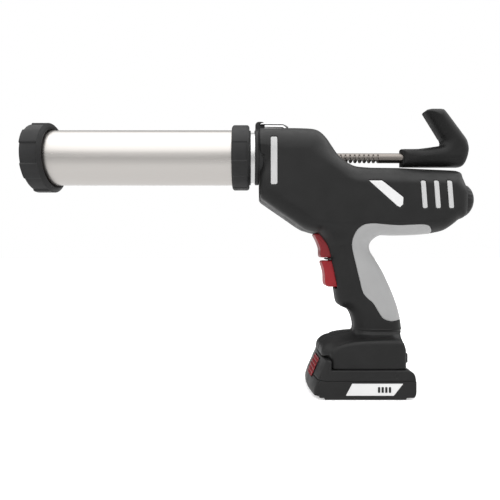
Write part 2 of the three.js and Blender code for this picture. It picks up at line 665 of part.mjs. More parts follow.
function addControls() {
  addNode("trigger_upper", slab(TRIGGER_UPPER, TRIGGER_HALF, 1), "red");
  addNode("trigger_lower", slab(TRIGGER_LOWER, TRIGGER_HALF, 1), "red");
  const pin = TRIGGER_PIN;
  addNode("trigger_pin", barY(-pin.half, pin.half, pin.radius, pin.x, pin.z, 10), "steel");
  addNode("trigger_spring_upper", coilX(SPRING.front, SPRING.rear, SPRING.upperZ), "steel");
  addNode("trigger_spring_lower", coilX(SPRING.front, SPRING.rear, SPRING.lowerZ), "steel");
  addNode("switch", block(SWITCH), "black");
  addNode("control_board", block(BOARD), "board");
  addNode("terminal_block", block(TERMINALS), "black");
  const dial = turned([
    [DIAL.front, 0], [DIAL.front, DIAL.radius], [DIAL.rear - 8, DIAL.radius],
    [DIAL.rear - 2, DIAL.radius - 5], [DIAL.rear, DIAL.radius - 12], [DIAL.rear, 0],
  ], LOWER_Z);
  addNode("speed_dial", dial.add(barX(97.5, DIAL.front + 1, SHAFT, LOWER_Z, 20)), "black");
}

// ---- Battery ----

// Stations along Z: [z, front, rear, half width].
const TRAY = [
  [0, -40, 47, 33], [1.4, -43.4, 50.6, 35.2], [4.4, -45.4, 52.8, BATTERY.half],
  [9, -45, 52.8, BATTERY.half], [17.7, -42.6, 52.8, BATTERY.half],
];
const LID = [
  [18, -42.6, 52.6, 35.8], [22, -42.2, 52, 35.7], [25.4, -41.2, 50, 35], [BATTERY.top, -40, 47, 33],
];
const LOBE = [[20, -42.4, -33, 31], [28, -41.4, -33, 30], [36.5, -39, -33, 28], [46.4, -35.5, -33, 24]];
const BUTTON = outline(
  [[-37.6, 43.4], [-35, 41]],
  [[-37.5, 33], [-39.4, 21]],
  [[-43.4, 22.4], [-40.9, 34]],
);
const BUTTON_HALF = 22;
const BUTTON_TRAVEL = 2.8;
const BUTTON_STEPS = 4;

// The room that the button sweeps as it is pressed in, with a gap all round.
function buttonPocket() {
  const grown = slab(inset(BUTTON, -0.4), BUTTON_HALF + 0.4);
  const places = Array.from({ length: BUTTON_STEPS + 1 }, (_, i) => (i / BUTTON_STEPS) * BUTTON_TRAVEL);
  return join(...places.map((x) => grown.translate([x, 0, 0])));
}

function addBattery() {
  const { wall, middle, top } = BATTERY;
  const cellX = [0, 1, 2, 3, 4].map((i) => middle + (i - (CELL.count - 1) / 2) * CELL.pitch);
  const cellZ = wall + GAP + CELL.radius;
  const roomX = 2.5 * CELL.pitch;
  const roomY = CELL.length / 2 + 0.5;
  const beds = cellX.map((x) => barY(-roomY, roomY, CELL.radius + GAP, x, cellZ, 16));
  const roomTo = (height) => {
    const hall = box(middle - roomX, middle + roomX, -roomY, roomY, cellZ, height);
    return join(hall, ...beds);
  };
  const tray = loft("z", TRAY, 9, 28).subtract(roomTo(40));
  addNode("battery_tray", tray, "black");
  const button = slab(BUTTON, BUTTON_HALF, 1);
  const closed = loft("z", LID, 9, 28).add(loft("z", LOBE, 6, 16));
  const lid = closed.subtract(buttonPocket()).subtract(roomTo(top - 3));
  addNode("battery_lid", largest(lid), "black");
  addNode("latch_button", button, "red");
  cellX.forEach((x, i) => {
    const cell = barY(-CELL.length / 2, CELL.length / 2, CELL.radius, x, cellZ, 16);
    addNode(`battery_cell_${i + 1}`, cell, "cell");
  });
}

addHousing();
addScrews();
addSidePieces();
addBarrel();
addCap();
addSpigot();
addCollar();
addLoop();
addRod();
addPlunger();
addHandle();
addDrive();
addMotor();
addControls();
addBattery();

export default gun;
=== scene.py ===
"""Battery caulking gun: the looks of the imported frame.

Shapes are worked out in millimetres in the frame's own axes: the barrel points to -X, +Z is up
and -Y is the side that the camera sees. Moulded pieces are signed distance fields turned into
meshes, round pieces are lathed about the X axis, and wires are swept curves.
"""

import math

import bmesh
import bpy
import numpy as np
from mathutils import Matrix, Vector


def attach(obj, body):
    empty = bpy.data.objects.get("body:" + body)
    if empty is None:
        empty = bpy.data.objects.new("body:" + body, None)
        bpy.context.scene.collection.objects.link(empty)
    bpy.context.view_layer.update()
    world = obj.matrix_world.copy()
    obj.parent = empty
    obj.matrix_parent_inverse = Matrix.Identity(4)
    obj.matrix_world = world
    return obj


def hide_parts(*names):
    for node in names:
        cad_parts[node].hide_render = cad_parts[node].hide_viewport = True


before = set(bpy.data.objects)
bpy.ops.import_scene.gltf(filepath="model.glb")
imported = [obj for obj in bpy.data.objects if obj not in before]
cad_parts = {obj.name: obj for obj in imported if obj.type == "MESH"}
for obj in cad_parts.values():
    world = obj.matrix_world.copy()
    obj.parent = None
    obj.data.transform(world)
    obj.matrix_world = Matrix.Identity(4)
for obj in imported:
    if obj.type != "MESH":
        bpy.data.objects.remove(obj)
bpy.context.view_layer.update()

MM = 0.001
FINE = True

# ---------------------------------------------------------------- driving sizes, in millimetres
COARSE = 1.8

AXIS_Z = 234.5  # the barrel, the rod and the pull handle's sleeve
TUBE_RADIUS = 27.5
CAP_RADIUS = 34.7
CAP_FRONT = -322.2
RING_RADIUS = 32.6
SPIGOT_RADIUS = 25.2
COLLAR_RADIUS = 27.2
LOOP_PIN = (-92.6, 268.2)  # X and Z of the axis that the hanging loop turns about
WIRE_RADIUS = 0.95

HEAD_HALF = 31.0  # half widths along Y
TAIL_HALF = 28.0
HANDLE_HALF = 17.5
CORE_HALF = 30.0
PANEL_HALF = 33.0
SHELL = 3.0
GRIP_DEPTH = 1.5
GRIP_PROUD = 0.25
MARK_DEPTH = 0.9
STRIPE_PROUD = 0.35
LABEL_PROUD = 0.15
MARK_STEP = 0.45

ROD_RADIUS = 5.0
TOOTH_PITCH = 1.5 * math.pi
TOOTH_DEPTH = 4.2
HOOK_FACE = 49.5
HOOK_HALF = 12.0
SLEEVE_HALF = 8.6

TRIGGER_HALF = 9.0
TRIGGER_PIN = (-24.4, 131.8)
DIAL_Z = 191.0
DIAL_RADIUS = 17.5

BATTERY_HALF = 36.0
NOSE_BOW = 3.2
BUTTON_HALF = 13.0
BUTTON_FOOT = 15.6
RIB_PITCH = 3.6
CHARGE_BARS = {"count": 4, "x": 16.0, "pitch": 3.4, "width": 2.2, "z": (7.2, 12.6)}


# ---------------------------------------------------------------- outlines and fields
def catmull(points, steps=6):
    """A smooth run through the points, with the ends kept."""
    pts = [np.array(p, float) for p in points]
    pts = [2 * pts[0] - pts[1], *pts, 2 * pts[-1] - pts[-2]]
    out = []
    for a, b, c, d in zip(pts, pts[1:], pts[2:], pts[3:]):
        for i in range(steps):
            t = i / steps
            out.append(
                0.5 * (2 * b + (c - a) * t + (2 * a - 5 * b + 4 * c - d) * t**2
                       + (3 * b - a - 3 * c + d) * t**3)
            )
    out.append(pts[-2])
    return out


def outline(*runs):
    """A closed outline: a run of more than two points is a smooth curve, others stay straight."""
    out = []
    for run in runs:
        made = catmull(run) if len(run) > 2 else [np.array(p, float) for p in run]
        for p in made:
            if not out or np.hypot(*(p - out[-1])) > 1e-6:
                out.append(p)
    if np.hypot(*(out[0] - out[-1])) < 1e-6:
        out.pop()
    return np.array(out)


def area_distance(shape, x, z):
    """Signed distance in the XZ plane to a closed outline, negative inside."""
    x, z = np.broadcast_arrays(x, z)
    best = np.full(x.shape, 1e12)
    inside = np.zeros(x.shape, bool)
    for (ax, az), (bx, bz) in zip(shape, np.roll(shape, -1, axis=0)):
        ex, ez = bx - ax, bz - az
        wx, wz = x - ax, z - az
        t = np.clip((wx * ex + wz * ez) / (ex * ex + ez * ez), 0, 1)
        best = np.minimum(best, (wx - t * ex) ** 2 + (wz - t * ez) ** 2)
        if bz != az:
            crosses = (az > z) != (bz > z)
            inside ^= crosses & (wx < ex * wz / ez)
    return np.where(inside, -1.0, 1.0) * np.sqrt(best)


def smoothstep(a, b, v):
    t = np.clip((v - a) / (b - a), 0, 1)
    return t * t * (3 - 2 * t)


def mix(a, b, t):
    return a + (b - a) * t


def bump_at(v, centre, width):
    """A soft bump that is 1 at the centre."""
    return np.exp(-(((v - centre) / width) ** 2))


def rounded(flat, y, half, radius):
    """A slab about y = 0 whose edges are rounded: flat is the distance to its outline."""
    q1 = flat + radius
    q2 = np.abs(y) - half + radius
    outside = np.hypot(np.maximum(q1, 0), np.maximum(q2, 0))
    return np.minimum(np.maximum(q1, q2), 0) + outside - radius


def join(a, b, soft=0.0):
    """Union of two fields, filleted over soft millimetres."""
    if soft <= 0:
        return np.minimum(a, b)
    h = np.maximum(soft - np.abs(a - b), 0) / soft
    return np.minimum(a, b) - h * h * soft / 4


def keep(a, b, soft=0.0):
    """Intersection of two fields, its edge rounded over soft millimetres."""
    return -join(-a, -b, soft)


def cut(a, b, soft=0.0):
    """The first field without the second."""
    return keep(a, -b, soft)


def block(x, y, z, low, high, radius=0.0):
    """Distance to a box with rounded edges."""
    qs = []
    for v, a, b in zip((x, y, z), low, high):
        qs.append(np.abs(v - (a + b) / 2) - (b - a) / 2 + radius)
    outside = np.sqrt(sum(np.maximum(q, 0) ** 2 for q in qs))
    return outside + np.minimum(np.maximum(np.maximum(qs[0], qs[1]), qs[2]), 0) - radius


def rod_x(x, y, z, radius, centre_z, low, high):
    """Distance to a bar along X."""
    side = np.hypot(y, z - centre_z) - radius
    ends = np.abs(x - (low + high) / 2) - (high - low) / 2
    return np.maximum(side, ends)


# ---------------------------------------------------------------- meshes
def mesh_object(name, vertices, faces, angle=None):
    """A smooth-shaded object from vertices in millimetres."""
    mesh = bpy.data.meshes.new(name)
    mesh.from_pydata((np.asarray(vertices) * MM).tolist(), [], [tuple(f) for f in faces])
    mesh.update()
    mesh.shade_smooth()
    if angle:
        mesh.set_sharp_from_angle(angle=math.radians(angle))
    made = bpy.data.objects.new(name, mesh)
    bpy.context.scene.collection.objects.link(made)
    return made


def net_vertices(values, active):
    """The mean of the edge crossings in each active cell, in grid units."""
    cells = np.argwhere(active)
    corner = {}
    for c in np.ndindex(2, 2, 2):
        at = cells + c
        corner[c] = values[at[:, 0], at[:, 1], at[:, 2]]
    total = np.zeros((len(cells), 3))
    count = np.zeros(len(cells))
    for c in np.ndindex(2, 2, 2):
        for axis in range(3):
            if c[axis]:
                continue
            d = tuple(1 if i == axis else v for i, v in enumerate(c))
            crossing = (corner[c] < 0) != (corner[d] < 0)
            t = np.divide(corner[c], corner[c] - corner[d], out=np.zeros(len(cells)), where=crossing)
            point = np.tile(np.array(c, float), (len(cells), 1))
            point[:, axis] += t
            total += np.where(crossing[:, None], point, 0)
            count += crossing
    return cells + total / count[:, None]


def net_faces(values, index):
    """One quad for each grid edge that the surface crosses, facing out."""
    faces = []
    for axis in range(3):
        u, v = [(1, 2), (2, 0), (0, 1)][axis]
        low = np.take(values, range(values.shape[axis] - 1), axis) < 0
        high = np.take(values, range(1, values.shape[axis]), axis) < 0
        edges = np.argwhere(low != high)
        edges = edges[(edges[:, u] > 0) & (edges[:, v] > 0)]
        edges = edges[(edges[:, u] < index.shape[u]) & (edges[:, v] < index.shape[v])]
        leaving = low[edges[:, 0], edges[:, 1], edges[:, 2]]
        ring = []
        for du, dv in ((1, 1), (0, 1), (0, 0), (1, 0)):
            cell = edges.copy()
            cell[:, u] -= du
            cell[:, v] -= dv
            ring.append(index[cell[:, 0], cell[:, 1], cell[:, 2]])
        quads = np.stack(ring, axis=1)
        quads[~leaving] = quads[~leaving][:, ::-1]
        faces.append(quads)
    return np.concatenate(faces)


def carve(name, field, low, high, step, angle=None):
    """The surface where field(x, y, z) is 0 inside a box, as a mesh whose points lie on it."""
    step = step if FINE else step * COARSE
    axes = [np.arange(a - 1.5 * step, b + 2.5 * step, step) for a, b in zip(low, high)]
    x, y, z = np.meshgrid(*axes, indexing="ij", sparse=True)
    values = field(x, y, z) + np.zeros((len(axes[0]), len(axes[1]), len(axes[2])))
    values = np.where(np.abs(values) < 1e-9, 1e-9, values)
    corners = sum((values[i:values.shape[0] - 1 + i, j:values.shape[1] - 1 + j,
                          k:values.shape[2] - 1 + k] < 0).astype(np.int8)
                  for i, j, k in np.ndindex(2, 2, 2))
    active = (corners > 0) & (corners < 8)
    index = np.full(active.shape, -1)
    index[active] = np.arange(active.sum())
    points = net_vertices(values, active) * step + [a[0] for a in axes]
    points = settle(field, points, step)
    return mesh_object(name, points, net_faces(values, index), angle)


def settle(field, points, step):
    """Moves each point onto the surface along the field's slope."""
    tiny = 0.02 * step
    for _ in range(2):
        x, y, z = points.T
        here = field(x, y, z)
        slope = np.stack([
            field(x + tiny, y, z) - here,
            field(x, y + tiny, z) - here,
            field(x, y, z + tiny) - here,
        ], axis=1) / tiny
        size = np.maximum((slope ** 2).sum(axis=1), 0.2)
        move = -slope * (here / size)[:, None]
        length = np.maximum(np.linalg.norm(move, axis=1), 1e-9)
        points = points + move * np.minimum(1, 0.6 * step / length)[:, None]
    return points


def fillet(points, radius, steps=4):
    """Rounds each corner of a closed profile by radius, or by the radius given as a third value."""
    pts = [np.array(p[:2], float) for p in points]
    sizes = [p[2] if len(p) > 2 else radius for p in points]
    out = []
    for i, p in enumerate(pts):
        a, b = pts[i - 1], pts[(i + 1) % len(pts)]
        reach = min(sizes[i], 0.45 * np.hypot(*(a - p)), 0.45 * np.hypot(*(b - p)))
        if reach < 1e-3:
            out.append(p)
            continue
        start = p + (a - p) / np.hypot(*(a - p)) * reach
        end = p + (b - p) / np.hypot(*(b - p)) * reach
        for j in range(steps + 1):
            t = j / steps
            out.append((1 - t) ** 2 * start + 2 * t * (1 - t) * p + t ** 2 * end)
    return out


def lathe(name, profile, centre_z=AXIS_Z, segments=128, radius=0.4, swell=None, angle=35):
    """A closed (x, r) profile turned about the X axis. swell(x, r, angle) may change the radius."""
    loop = fillet(profile, radius)
    turns = np.arange(segments) * 2 * math.pi / segments
    vertices = []
    for x, r in loop:
        for turn in turns:
            rr = swell(x, r, turn) if swell else r
            vertices.append((x, -rr * math.cos(turn), centre_z + rr * math.sin(turn)))
    faces = []
    n = len(loop)
    for i in range(n):
        for j in range(segments):
            k = (j + 1) % segments
            ii = (i + 1) % n
            faces.append((i * segments + j, i * segments + k, ii * segments + k, ii * segments + j))
    return outward(mesh_object(name, vertices, faces, angle))


def outward(made):
    """Turns the faces out."""
    work = bmesh.new()
    work.from_mesh(made.data)
    bmesh.ops.recalc_face_normals(work, faces=work.faces)
    work.to_mesh(made.data)
    work.free()
    return made


def sweep(name, path, radius, sides=16):
    """A closed ring of round wire through the points, the last of which repeats the first."""
    pts = np.array(path[:-1], float)
    vertices, faces = [], []
    up = np.array([0.0, 0.0, 1.0])
    for i, p in enumerate(pts):
        along = pts[(i + 1) % len(pts)] - pts[i - 1]
        along /= np.linalg.norm(along)
        side = up - along * up.dot(along)
        side /= np.linalg.norm(side)
        other = np.cross(along, side)
        for j in range(sides):
            turn = 2 * math.pi * j / sides
            vertices.append(p + radius * (side * math.cos(turn) + other * math.sin(turn)))
    for i in range(len(pts)):
        n = (i + 1) % len(pts)
        for j in range(sides):
            k = (j + 1) % sides
            faces.append((i * sides + j, i * sides + k, n * sides + k, n * sides + j))
    return outward(mesh_object(name, vertices, faces))


# ---------------------------------------------------------------- materials
def links_of(name):
    """A new material with its node tree, its shader and the object's own coordinates."""
    made = bpy.data.materials.new(name)
    made.use_nodes = True
    tree = made.node_tree
    tree.nodes.clear()
    out = tree.nodes.new("ShaderNodeOutputMaterial")
    shader = tree.nodes.new("ShaderNodeBsdfPrincipled")
    tree.links.new(shader.outputs["BSDF"], out.inputs["Surface"])
    where = tree.nodes.new("ShaderNodeTexCoord")
    return made, tree, shader, where.outputs["Object"]


def noise(tree, where, scale, detail=3.0, stretch=(1, 1, 1)):
    """A noise texture whose scale is features per metre."""
    if stretch != (1, 1, 1):
        mapping = tree.nodes.new("ShaderNodeMapping")
        mapping.inputs["Scale"].default_value = stretch
        tree.links.new(where, mapping.inputs["Vector"])
        where = mapping.outputs["Vector"]
    made = tree.nodes.new("ShaderNodeTexNoise")
    made.inputs["Scale"].default_value = scale
    made.inputs["Detail"].default_value = detail
    tree.links.new(where, made.inputs["Vector"])
    return made.outputs["Fac"]


def ramp(tree, value, stops):
    made = tree.nodes.new("ShaderNodeValToRGB")
    elements = made.color_ramp.elements
    while len(elements) < len(stops):
        elements.new(0.5)
    for element, (at, colour) in zip(elements, stops):
        element.position = at
        element.color = (*colour, 1)
    tree.links.new(value, made.inputs["Fac"])
    return made.outputs["Color"]


def grey(v):
    return (v, v, v)


def surface(name, colour, spread=0.12, rough=0.45, rough_spread=0.06, metallic=0.0, grain=900,
            grain_height=0.00002, grain_strength=0.25, drift=40, stretch=(1, 1, 1), specular=0.5,
            coat=0.0, sheen=0.0):
    """A moulded, cast or drawn finish: colour drift, uneven roughness and a fine bump."""
    made, tree, shader, where = links_of(name)
    low = tuple(c * (1 - spread) for c in colour)
    high = tuple(min(1, c * (1 + spread)) for c in colour)
    clouds = noise(tree, where, drift, 4.0, stretch)
    tree.links.new(ramp(tree, clouds, [(0.35, low), (0.65, high)]), shader.inputs["Base Color"])
    patches = noise(tree, where, drift * 3, 3.0, stretch)
    rough_stops = [(0.3, grey(rough - rough_spread)), (0.7, grey(rough + rough_spread))]
    tree.links.new(ramp(tree, patches, rough_stops), shader.inputs["Roughness"])
    bump = tree.nodes.new("ShaderNodeBump")
    bump.inputs["Strength"].default_value = grain_strength
    bump.inputs["Distance"].default_value = grain_height
    tree.links.new(noise(tree, where, grain, 2.0, stretch), bump.inputs["Height"])
    tree.links.new(bump.outputs["Normal"], shader.inputs["Normal"])
    shader.inputs["Metallic"].default_value = metallic
    shader.inputs["Specular IOR Level"].default_value = specular
    shader.inputs["Coat Weight"].default_value = coat
    shader.inputs["Coat Roughness"].default_value = 0.1
    shader.inputs["Sheen Weight"].default_value = sheen
    return made


MATERIALS = {
    "body": surface("moulded_black", (0.0105, 0.0105, 0.0105), rough=0.42, grain=1500,
                    grain_height=0.00003, grain_strength=0.35, specular=0.26),
    "ring": surface("glass_filled_black", (0.016, 0.016, 0.0165), rough=0.5, grain=1100,
                    grain_height=0.00004, grain_strength=0.4, specular=0.26),
    "hook": surface("smooth_black", (0.0095, 0.0095, 0.0095), rough=0.42, grain=1800,
                    grain_height=0.00002, grain_strength=0.2, specular=0.2),
    "battery": surface("battery_black", (0.0105, 0.0105, 0.0105), rough=0.4, grain=1500,
                       grain_height=0.00003, grain_strength=0.35, specular=0.26),
    "grip": surface("soft_touch_grey", (0.285, 0.285, 0.285), spread=0.03, rough=0.72, grain=1300,
                    grain_height=0.00004, grain_strength=0.3, specular=0.3, sheen=0.15),
    "stripe": surface("pale_inlay", (0.43, 0.43, 0.43), spread=0.03, rough=0.45, grain=1500,
                      grain_height=0.00002, grain_strength=0.15),
    "label": surface("printed_label", (0.62, 0.62, 0.62), spread=0.02, rough=0.35, grain=700,
                     grain_height=0.00001, grain_strength=0.1, coat=0.3),
    "tube": surface("satin_aluminium", (0.67, 0.642, 0.614), spread=0.015, rough=0.3,
                    rough_spread=0.03, metallic=1.0, grain=1600, grain_height=0.000008,
                    grain_strength=0.2, stretch=(0.03, 1, 1)),
    "cast": surface("machined_aluminium", (0.78, 0.78, 0.78), spread=0.05, rough=0.32,
                    metallic=1.0, grain=1400, grain_height=0.00001, stretch=(1, 0.1, 0.1)),
    "brass": surface("guide_bronze", (0.62, 0.42, 0.18), spread=0.1, rough=0.35, metallic=1.0),
    "steel": surface("oiled_steel", (0.25, 0.228, 0.21), spread=0.1, rough=0.34,
                     rough_spread=0.08, metallic=1.0, grain=1600, grain_height=0.00001,
                     stretch=(0.1, 1, 1)),
    "bright": surface("bright_wire", (0.72, 0.72, 0.72), spread=0.05, rough=0.2,
                      rough_spread=0.04, metallic=1.0),
    # Dark inner nylon. On the steel trigger pin and springs it is painted shade in the trigger slot.
    "inner": surface("inner_nylon_and_painted_shade", (0.016, 0.016, 0.017), rough=0.6),
    "board": surface("circuit_board", (0.012, 0.10, 0.04), spread=0.3, rough=0.4, drift=120),
    "rubber": surface("seal_rubber", (0.018, 0.018, 0.018), rough=0.7, grain=1000),
    "red": surface("trigger_red", (0.185, 0.011, 0.015), spread=0.06, rough=0.38, grain=1500,
                   grain_height=0.00002, grain_strength=0.2, specular=0.28),
    # A brighter copy of the trigger red for the lower trigger: painted light, since both triggers
    # are the same red plastic.
    "trigger_red_painted_lit": surface("trigger_red_painted_lighter", (0.25, 0.009, 0.014), spread=0.06, rough=0.36,
                          grain=1500, grain_height=0.00002, grain_strength=0.2, specular=0.28),
    "cell": surface("cell_wrap", (0.018, 0.024, 0.036), spread=0.1, rough=0.35, coat=0.2),
}


def finish_piece(piece, material, body, slot, *nodes):
    """Gives a piece its material and its body, and hides the CAD nodes that it stands for. slot is
    not used.
    """
    piece.data.materials.clear()
    piece.data.materials.append(MATERIALS[material])
    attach(piece, body)
    if nodes:
        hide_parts(*nodes)
    return piece


# ---------------------------------------------------------------- housing shape
# The outline runs on past the nose and the foot, where flat faces end it.
BODY = outline(
    [(-140, 263), (-83, 263.2)],
    [(-83, 263.2), (-70, 263.2), (-52, 263), (-40, 262.2), (-33, 259.3), (-26.7, 253.3),
     (-21, 245), (-14.5, 235.5), (-6.9, 229.1), (2, 225.1), (17, 223.7)],
    [(44, 223.4), (72, 222.1), (96, 221), (103, 220.2), (107.2, 217.4), (109.2, 210)],
    [(109.8, 200), (109.6, 184)],
    [(109.6, 184), (108.6, 176.4), (105.4, 172.6), (100.6, 170.4), (96, 166.6), (88, 160.6),
     (80, 158.2), (72, 157), (58, 156.3), (44, 156.1), (32, 156.4), (24.8, 155.3), (19.4, 151.6),
     (16.4, 146), (17.4, 139.3), (23.3, 130), (29.3, 120), (33.7, 111), (37.3, 103),
     (40.8, 94.5), (44.2, 85), (46.6, 76), (48.1, 69), (48.8, 62)],
    [(46.2, 54), (46.2, 45)],
    [(46.2, 10), (-29.5, 10)],
    [(-29.5, 35.6), (-33.6, 37.4)],
    [(-33.6, 37.4), (-33.9, 40.5), (-32.6, 45), (-29.6, 48.6), (-24.6, 51.6), (-14.3, 55.0),
     (-5, 56.9), (0.3, 57.9)],
    [(1.5, 62.5), (0.8, 68.5), (-1.5, 76), (-5.2, 81), (-11.4, 83.8), (-15.2, 87), (-16.6, 91),
     (-17.2, 95.2), (-18.4, 103), (-20, 111), (-21.8, 120), (-24.1, 130), (-25.9, 139),
     (-28, 145), (-30.8, 151), (-34.4, 156.6)],
    [(-36, 157.6), (-40, 158.1), (-46, 160), (-52, 162.6), (-70, 175.1), (-83, 184),
     (-91.5, 190)],
    [(-95, 193), (-96, 206)],
    [(-96, 220), (-140, 220)],
)
PANEL = outline(
    [(-26.6, 10), (-26.6, 41.5)],
    [(-26.6, 41.5), (-25.4, 45.2), (-21.5, 49.2), (-12, 52.6), (1, 54.4), (16, 55.1), (36, 55.2)],
    [(36, 55.2), (42.2, 53), (44.9, 46)],
    [(44.9, 46), (44.9, 10)],
)
GRIP = outline(
    [(120, 150), (78, 150)],
    [(78, 150), (76, 155.5), (73, 160.6), (66.1, 165.1), (53, 165.4), (40, 164.8), (27, 165.6),
     (13.9, 166.4), (5.1, 165), (-0.9, 159.8), (-3.6, 151), (-3.2, 141.5), (0, 127.5),
     (4.2, 110.1), (6.9, 99.7), (11.3, 93.6), (17.3, 88.3), (22.6, 79.6), (27, 73.6),
     (33.9, 70.9), (43.5, 71.3)],
    [(43.5, 71.3), (70, 72)],
)
LABEL = outline([(10.2, 207.3), (22.6, 207.3)], [(43.0, 191.2), (42.7, 184.5)],
                [(39.9, 181.8), (37.2, 183.1)])
NOSE_X = -94.4
SOLE_Z = 27.9
STRIPE = {"x": (-83.9, -77.6), "z": (203.2, 249.2), "round": 1.6}
VENTS = {"count": 3, "x": 61.9, "pitch": 12.6, "width": 4.6, "z": (180.8, 207.3), "lean": 2.0,
         "round": 1.6}
SCREWS = [(-83, 196), (99, 212.5), (4, 76), (-18, 47)]


def bar_distance(x, z, low, high, radius, slope=0.0):
    """Distance to an upright bar with round corners, leaning by slope."""
    middle = (low[1] + high[1]) / 2
    x = x + slope * (z - middle)
    qx = np.abs(x - (low[0] + high[0]) / 2) - (high[0] - low[0]) / 2 + radius
    qz = np.abs(z - middle) - (high[1] - low[1]) / 2 + radius
    return (np.hypot(np.maximum(qx, 0), np.maximum(qz, 0))
            + np.minimum(np.maximum(qx, qz), 0) - radius)


def stripe_distance(x, z):
    low, high = zip(STRIPE["x"], STRIPE["z"])
    return bar_distance(x, z, low, high, STRIPE["round"])


def vent_distance(x, z):
    low, high = VENTS["z"]
    slope = VENTS["lean"] / (high - low)
    half = VENTS["width"] / 2
    best = 1e6
    for i in range(VENTS["count"]):
        middle = VENTS["x"] + i * VENTS["pitch"] + VENTS["lean"] / 2
        bar = bar_distance(x, z, (middle - half, low), (middle + half, high), VENTS["round"], slope)
        best = np.minimum(best, bar)
    return best


def label_distance(x, z):
    return area_distance(LABEL, x, z)


def grip_distance(x, z):
    return area_distance(GRIP, x, z)


def body_field(x, y, z):
    """The outer skin of the closed housing."""
    head = smoothstep(205, 242, z) * smoothstep(5, -30, x)
    upper = smoothstep(144, 168, z)
    low = smoothstep(61, 49, z)
    trunk = mix(HEAD_HALF, TAIL_HALF, smoothstep(-60, 20, x))
    half = mix(mix(HANDLE_HALF, CORE_HALF, low), trunk, upper)
    tail = smoothstep(196, 214, z) * smoothstep(-30, 5, x)
    radius = mix(mix(14.5, 15, low), 13 + 14 * head + 11 * tail, upper)
    flat = area_distance(BODY, x, z)
    skin = rounded(flat, y, half, radius)
    skin = keep(skin, NOSE_X - x, 2.5)
    panel = rounded(area_distance(PANEL, x, z), y, PANEL_HALF, 4)
    skin = join(skin, panel, 5)
    bead = 0.5 * (bump_at(z, 62.2, 0.7) + bump_at(z, 59.2, 0.7))
    skin = skin - bead * smoothstep(-1.5, 3, x)
    lugs = block(x, np.abs(y), z, (42, 11, 30.5), (50.3, 21, 40.5), 2)
    skin = join(skin, lugs, 1.5)
    return keep(skin, SOLE_Z - z, 0.3)


def inlay_depth(skin, flat, depth, soft=0.5):
    """The region under an inlay: inside its outline and above its depth."""
    return keep(flat, -(skin + depth), soft)


def housing_field(x, y, z):
    skin = body_field(x, y, z)
    shell = cut(skin, skin + SHELL)
    marks = np.minimum(stripe_distance(x, z), vent_distance(x, z))
    marks = np.minimum(marks, label_distance(x, z))
    marks = np.maximum(marks, 12 - np.abs(y))
    shell = cut(shell, inlay_depth(skin, grip_distance(x, z) - 0.12, GRIP_DEPTH + 0.2), 0.5)
    shell = cut(shell, inlay_depth(skin, marks - 0.25, MARK_DEPTH + 0.3), 0.4)
    shell = cut(shell, rod_x(x, y, z, COLLAR_RADIUS + 0.3, AXIS_Z, -110, -85.7))
    shell = cut(shell, rod_x(x, y, z, 25.8, AXIS_Z, -110, -80))
    shell = cut(shell, rod_x(x, y, z, ROD_RADIUS + 1.2, AXIS_Z, -40, 30), 1.5)
    shell = cut(shell, rod_x(x, y, z, DIAL_RADIUS + 0.4, DIAL_Z, 104.2, 130), 0.6)
    shell = cut(shell, block(x, y, z, (-60, -9.6, 102.6), (-12, 9.6, 158.6), 1.5), 0.8)
    return shell


def housing_half(side):
    """One moulded half. side is -1 for the left, which faces the camera, and 1 for the right."""
    def field(x, y, z):
        shell = housing_field(x, y, z)
        shell = keep(shell, 0.08 - side * y, 0.7)
        if side > 0:
            for at_x, at_z in SCREWS:
                hole = np.maximum(np.hypot(x - at_x, z - at_z) - 3.6, 8 - y)
                shell = cut(shell, hole, 0.8)
        return shell

    near, far = (-34.5, -0.0) if side < 0 else (0.0, 34.5)
    name = "housing_left" if side < 0 else "housing_right"
    made = carve(name + "_shell", field, (-96, near, 26.5), (112, far, 264.5), 0.95)
    return finish_piece(made, "body", "housing", "body_plastic", name)


def inlay(name, flat, side, box, depth, proud, material, slot, step, rounding=0.6):
    """A skin-deep insert that follows the housing's surface."""
    def field(x, y, z):
        skin = body_field(x, y, z)
        layer = np.maximum(skin - proud, -(skin + depth))
        layer = keep(layer, flat(x, z), rounding)
        return layer if side == 0 else np.maximum(layer, 10 - side * y)

    low, high = box
    made = carve(name + "_inlay", field, low, high, step)
    return finish_piece(made, material, "housing", slot, name)


def side_box(side, low, high):
    """A box over one side of the housing, from its low and high corners in X and Z."""
    near, far = sorted((side * 12, side * 34))
    return (low[0], near, low[1]), (high[0], far, high[1])


def make_housing():
    housing_half(-1)
    housing_half(1)
    inlay("soft_grip", grip_distance, 0, ((-5, -30, 69), (80, 30, 168)),
          GRIP_DEPTH, GRIP_PROUD, "grip", "soft_grip", 0.8, 1.2)
    for side, word in ((-1, "left"), (1, "right")):
        inlay("front_stripe_" + word, stripe_distance, side, side_box(side, (-86, 201), (-75, 251)),
              MARK_DEPTH, STRIPE_PROUD, "stripe", "light_plastic", MARK_STEP)
        inlay("vent_insert_" + word, vent_distance, side, side_box(side, (58, 178), (96, 210)),
              MARK_DEPTH, STRIPE_PROUD, "stripe", "light_plastic", MARK_STEP)
        inlay("tail_label_" + word, label_distance, side, side_box(side, (8, 180), (45, 209)),
              MARK_DEPTH, LABEL_PROUD, "label", "label_white", MARK_STEP, 0.3)


# ---------------------------------------------------------------- barrel, cap and rings
def flat_share(turn, count, half_width, ease, shift=0.0):
    """1 on each of count flats round the axis and 0 between them. Widths are in degrees."""
    period = 360 / count
    off = abs((math.degrees(turn) - shift + period / 2) % period - period / 2)
    return float(smoothstep(half_width + ease, half_width - ease, off))


